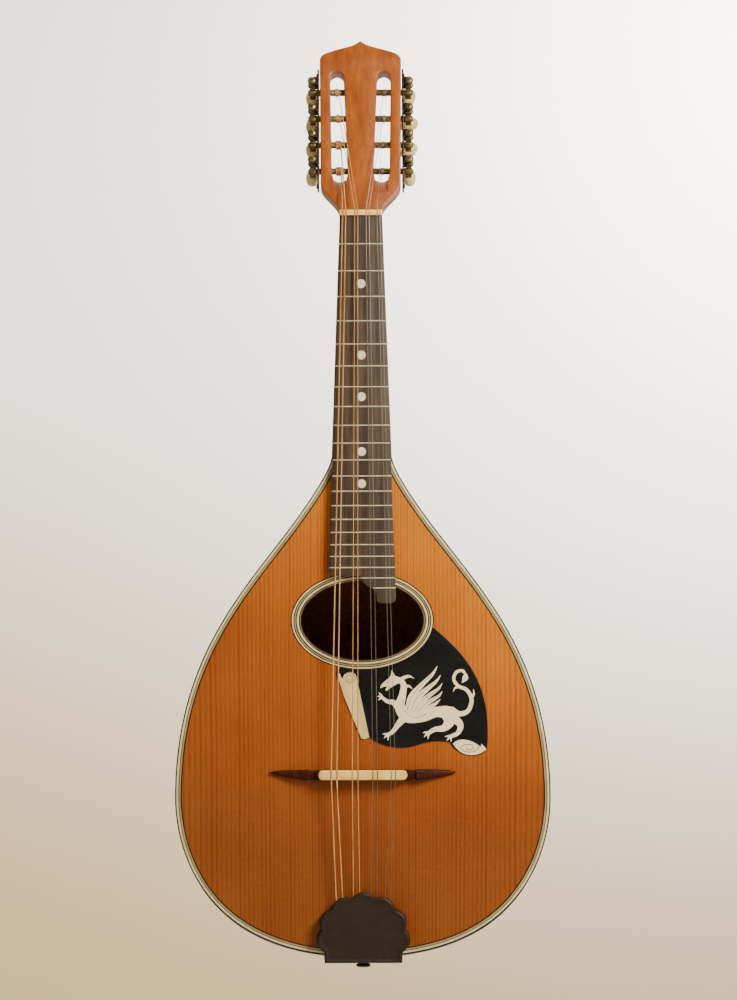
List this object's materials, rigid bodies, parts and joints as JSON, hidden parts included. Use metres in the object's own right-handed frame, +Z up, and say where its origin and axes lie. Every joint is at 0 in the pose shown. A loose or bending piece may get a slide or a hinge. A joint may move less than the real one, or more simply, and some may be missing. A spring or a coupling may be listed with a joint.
{
  "type": "bowl-back mandolin",
  "caption": "Bowl-back mandolin with a teardrop body, oval sound hole, inlaid pickguard, slotted headstock with geared tuners, floating bridge and scalloped tailpiece cover.",
  "frame": {"origin": "on the neck's flat face at the fingerboard edge of the nut, on the centre line, where a wall hanger's fork takes the neck", "axes": "+Z up the neck towards the head, the soundboard faces -Y, +X is the treble side"},
  "size_m": [0.2372, 0.1381, 0.5882],
  "materials": {
    "spruce": "aged amber varnish, satin",
    "mahogany": "orange-brown varnish, satin",
    "rosewood": "dark red-brown ribs, polished",
    "board_wood": "dark grey-brown, oiled",
    "bridge_wood": "dark rosewood, oiled",
    "inner_wood": "bare spruce and pine, unfinished",
    "bone": "aged bone, satin",
    "ivoroid": "aged cream celluloid",
    "black_celluloid": "polished black celluloid",
    "button_ivory": "yellowed ivory-like buttons",
    "tuner_brass": "aged brass, worn plating",
    "tail_metal": "dark patinated stamped metal",
    "wound_string": "bronze-wound string",
    "plain_string": "plain steel wire"
  },
  "bodies": {
    "body": {"soundboard": "spruce", "neck": "mahogany", "ribs_treble_edge": "rosewood", "ribs_treble": "rosewood", "ribs_back": "rosewood", "ribs_bass": "rosewood", "ribs_bass_edge": "rosewood", "tail_clasp": "rosewood", "fingerboard": "board_wood", "bridge_base": "bridge_wood", "neck_block": "inner_wood", "tail_block": "inner_wood", "lining_left": "inner_wood", "lining_right": "inner_wood", "brace_upper": "inner_wood", "brace_lower": "inner_wood", "brace_bridge": "inner_wood", "nut": "bone", "bridge_saddle": "bone", "binding": "ivoroid", "rosette": "ivoroid", "pickguard": "black_celluloid", "strap_button": "black_celluloid", "tailpiece_base": "tail_metal", "tuner_plate_left": "tuner_brass", "tuner_plate_right": "tuner_brass", "string_g1": "wound_string", "string_g2": "wound_string", "string_d1": "wound_string", "string_d2": "wound_string", "string_a1": "plain_string", "string_a2": "plain_string", "string_e1": "plain_string", "string_e2": "plain_string"},
    "key_left_1": {"worm_left_1": "tuner_brass", "button_left_1": "button_ivory"},
    "roller_left_1": {"post_left_1": "tuner_brass"},
    "key_left_2": {"worm_left_2": "tuner_brass", "button_left_2": "button_ivory"},
    "roller_left_2": {"post_left_2": "tuner_brass"},
    "key_left_3": {"worm_left_3": "tuner_brass", "button_left_3": "button_ivory"},
    "roller_left_3": {"post_left_3": "tuner_brass"},
    "key_left_4": {"worm_left_4": "tuner_brass", "button_left_4": "button_ivory"},
    "roller_left_4": {"post_left_4": "tuner_brass"},
    "key_right_1": {"worm_right_1": "tuner_brass", "button_right_1": "button_ivory"},
    "roller_right_1": {"post_right_1": "tuner_brass"},
    "key_right_2": {"worm_right_2": "tuner_brass", "button_right_2": "button_ivory"},
    "roller_right_2": {"post_right_2": "tuner_brass"},
    "key_right_3": {"worm_right_3": "tuner_brass", "button_right_3": "button_ivory"},
    "roller_right_3": {"post_right_3": "tuner_brass"},
    "key_right_4": {"worm_right_4": "tuner_brass", "button_right_4": "button_ivory"},
    "roller_right_4": {"post_right_4": "tuner_brass"},
    "cover": {"tailpiece_cover": "tail_metal"}
  },
  "joints": [
    {"name": "key_left_1_turn", "type": "hinge", "parent": "body", "child": "key_left_1", "pos_m": [-0.0307, 0.01406, 0.03472], "axis": [0, 0.9659, -0.2588], "continuous": true},
    {"name": "roller_left_1_turn", "type": "hinge", "parent": "body", "child": "roller_left_1", "pos_m": [-0.02, 0.01235, 0.02835], "axis": [1, 0, 0], "continuous": true},
    {"name": "key_left_2_turn", "type": "hinge", "parent": "body", "child": "key_left_2", "pos_m": [-0.0307, 0.01856, 0.05153], "axis": [0, 0.9659, -0.2588], "continuous": true},
    {"name": "roller_left_2_turn", "type": "hinge", "parent": "body", "child": "roller_left_2", "pos_m": [-0.02, 0.01686, 0.04516], "axis": [1, 0, 0], "continuous": true},
    {"name": "key_left_3_turn", "type": "hinge", "parent": "body", "child": "key_left_3", "pos_m": [-0.0307, 0.02307, 0.06834], "axis": [0, 0.9659, -0.2588], "continuous": true},
    {"name": "roller_left_3_turn", "type": "hinge", "parent": "body", "child": "roller_left_3", "pos_m": [-0.02, 0.02136, 0.06196], "axis": [1, 0, 0], "continuous": true},
    {"name": "key_left_4_turn", "type": "hinge", "parent": "body", "child": "key_left_4", "pos_m": [-0.0307, 0.02757, 0.08515], "axis": [0, 0.9659, -0.2588], "continuous": true},
    {"name": "roller_left_4_turn", "type": "hinge", "parent": "body", "child": "roller_left_4", "pos_m": [-0.02, 0.02586, 0.07877], "axis": [1, 0, 0], "continuous": true},
    {"name": "key_right_1_turn", "type": "hinge", "parent": "body", "child": "key_right_1", "pos_m": [0.0307, 0.01406, 0.03472], "axis": [0, 0.9659, -0.2588], "continuous": true},
    {"name": "roller_right_1_turn", "type": "hinge", "parent": "body", "child": "roller_right_1", "pos_m": [0.02, 0.01235, 0.02835], "axis": [1, 0, 0], "continuous": true},
    {"name": "key_right_2_turn", "type": "hinge", "parent": "body", "child": "key_right_2", "pos_m": [0.0307, 0.01856, 0.05153], "axis": [0, 0.9659, -0.2588], "continuous": true},
    {"name": "roller_right_2_turn", "type": "hinge", "parent": "body", "child": "roller_right_2", "pos_m": [0.02, 0.01686, 0.04516], "axis": [1, 0, 0], "continuous": true},
    {"name": "key_right_3_turn", "type": "hinge", "parent": "body", "child": "key_right_3", "pos_m": [0.0307, 0.02307, 0.06834], "axis": [0, 0.9659, -0.2588], "continuous": true},
    {"name": "roller_right_3_turn", "type": "hinge", "parent": "body", "child": "roller_right_3", "pos_m": [0.02, 0.02136, 0.06196], "axis": [1, 0, 0], "continuous": true},
    {"name": "key_right_4_turn", "type": "hinge", "parent": "body", "child": "key_right_4", "pos_m": [0.0307, 0.02757, 0.08515], "axis": [0, 0.9659, -0.2588], "continuous": true},
    {"name": "roller_right_4_turn", "type": "hinge", "parent": "body", "child": "roller_right_4", "pos_m": [0.02, 0.02586, 0.07877], "axis": [1, 0, 0], "continuous": true},
    {"name": "cover_slide", "type": "slide", "parent": "body", "child": "cover", "axis": [0, -0.9945, -0.1045], "range_m": [0, 0.03]}
  ],
  "couplings": [
    {"joint": "roller_left_1_turn", "follows": "key_left_1_turn", "ratio": 0.071429},
    {"joint": "roller_left_2_turn", "follows": "key_left_2_turn", "ratio": 0.071429},
    {"joint": "roller_left_3_turn", "follows": "key_left_3_turn", "ratio": 0.071429},
    {"joint": "roller_left_4_turn", "follows": "key_left_4_turn", "ratio": 0.071429},
    {"joint": "roller_right_1_turn", "follows": "key_right_1_turn", "ratio": 0.071429},
    {"joint": "roller_right_2_turn", "follows": "key_right_2_turn", "ratio": 0.071429},
    {"joint": "roller_right_3_turn", "follows": "key_right_3_turn", "ratio": 0.071429},
    {"joint": "roller_right_4_turn", "follows": "key_right_4_turn", "ratio": 0.071429}
  ]
}
